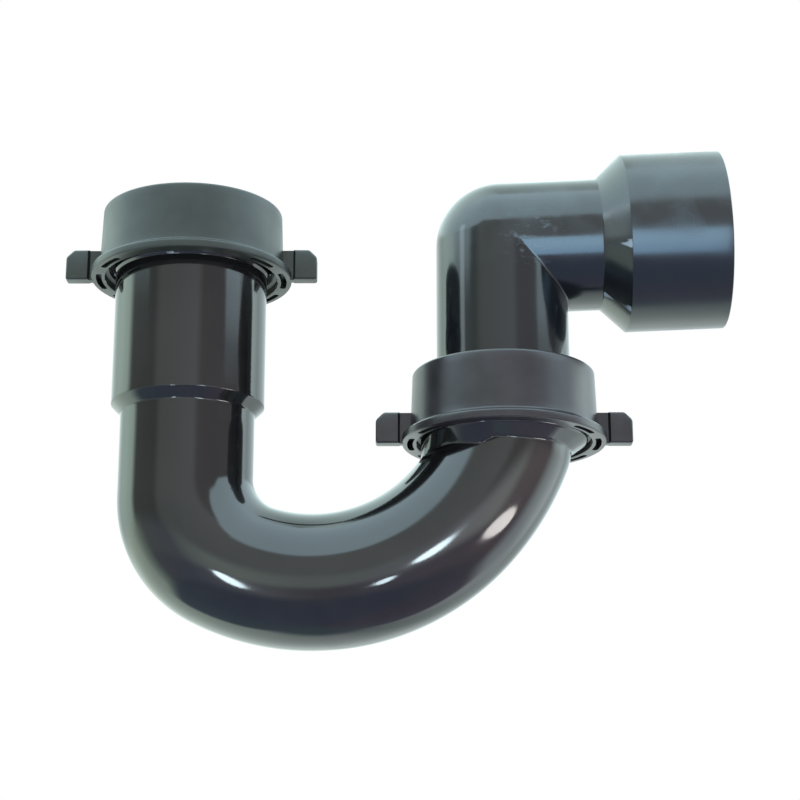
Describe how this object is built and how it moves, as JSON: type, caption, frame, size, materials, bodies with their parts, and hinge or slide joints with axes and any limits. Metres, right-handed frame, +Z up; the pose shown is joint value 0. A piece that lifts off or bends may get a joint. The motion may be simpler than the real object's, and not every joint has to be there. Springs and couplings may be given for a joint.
{
  "type": "p trap",
  "caption": "Plastic sink P-trap: a J-bend with a slip nut and bevelled washer at each end, and a street elbow with an outlet hub.",
  "frame": {"origin": "centre of the outlet hub's mouth", "axes": "+Z up the inlet, +X horizontally out of the outlet, +Y away from the side on which the outlet lies to the right"},
  "size_m": [0.2117, 0.0642, 0.162],
  "materials": {
    "abs_gloss": "glossy moulded, nearly black",
    "nut_plastic": "satin to matt moulded, dark grey",
    "washer_plastic": "soft translucent white"
  },
  "bodies": {
    "elbow": {"trap_elbow": "abs_gloss"},
    "bend": {"j_bend": "abs_gloss"},
    "inlet_washer": {"inlet_washer": "washer_plastic"},
    "inlet_nut": {"inlet_nut": "nut_plastic"},
    "union_washer": {"union_washer": "washer_plastic"},
    "union_nut": {"union_nut": "nut_plastic"}
  },
  "joints": [
    {"name": "bend_swivel", "type": "hinge", "parent": "elbow", "child": "bend", "pos_m": [-0.07048, 0, -0.05187], "axis": [0, 0, 1], "range_deg": [-130, 130]},
    {"name": "inlet_washer_lift", "type": "slide", "parent": "bend", "child": "inlet_washer", "axis": [0, 0, 1], "range_m": [0, 0.01124]},
    {"name": "inlet_nut_turn", "type": "hinge", "parent": "inlet_washer", "child": "inlet_nut", "pos_m": [-0.17018, 0, 0.00872], "axis": [0, 0, 1], "range_deg": [0, 1800]},
    {"name": "union_washer_lift", "type": "slide", "parent": "bend", "child": "union_washer", "axis": [0, 0, 1], "range_m": [0, 0.01124]},
    {"name": "union_nut_turn", "type": "hinge", "parent": "union_washer", "child": "union_nut", "pos_m": [-0.07048, 0, -0.04577], "axis": [0, 0, 1], "range_deg": [0, 1800]}
  ],
  "couplings": [
    {"joint": "inlet_washer_lift", "follows": "inlet_nut_turn", "m_per_rad": 0.00035152},
    {"joint": "union_washer_lift", "follows": "union_nut_turn", "m_per_rad": 0.00035152}
  ]
}
